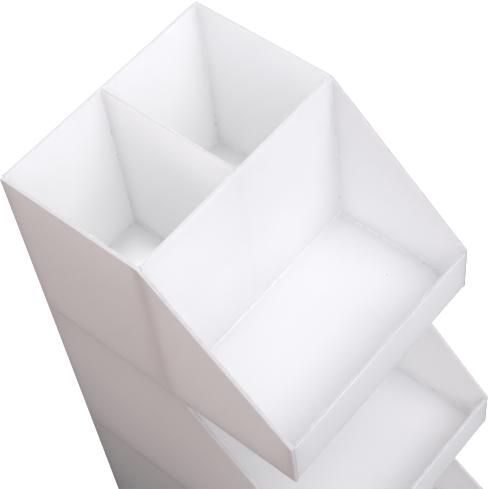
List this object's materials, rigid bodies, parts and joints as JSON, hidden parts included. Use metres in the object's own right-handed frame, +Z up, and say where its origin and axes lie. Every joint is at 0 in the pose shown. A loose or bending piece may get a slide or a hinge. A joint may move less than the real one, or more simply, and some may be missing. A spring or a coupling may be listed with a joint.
{
  "type": "desk organizer",
  "caption": "Tall tiered desk organizer with upright pen cups behind a tray and open shelves with sloping mouths below, bonded from glossy opal white plastic panels.",
  "frame": {"origin": "centre of the bounding box on the desk surface under the feet", "axes": "+Z up, the open front faces -Y, +X to the right as seen from the front"},
  "size_m": [0.135, 0.201, 0.35],
  "materials": {
    "opal_plastic": "gloss, slightly translucent opal white",
    "foot_pad": "soft matte translucent grey"
  },
  "bodies": {
    "root": {"left_side_panel": "opal_plastic", "right_side_panel": "opal_plastic", "back_panel": "opal_plastic", "cup_partition": "opal_plastic", "cup_divider": "opal_plastic", "top_floor": "opal_plastic", "middle_floor": "opal_plastic", "bottom_floor": "opal_plastic", "top_front_lip": "opal_plastic", "middle_front_lip": "opal_plastic", "bottom_front_lip": "opal_plastic", "foot_front_left": "foot_pad", "foot_front_right": "foot_pad", "foot_rear_left": "foot_pad", "foot_rear_right": "foot_pad"}
  },
  "joints": []
}
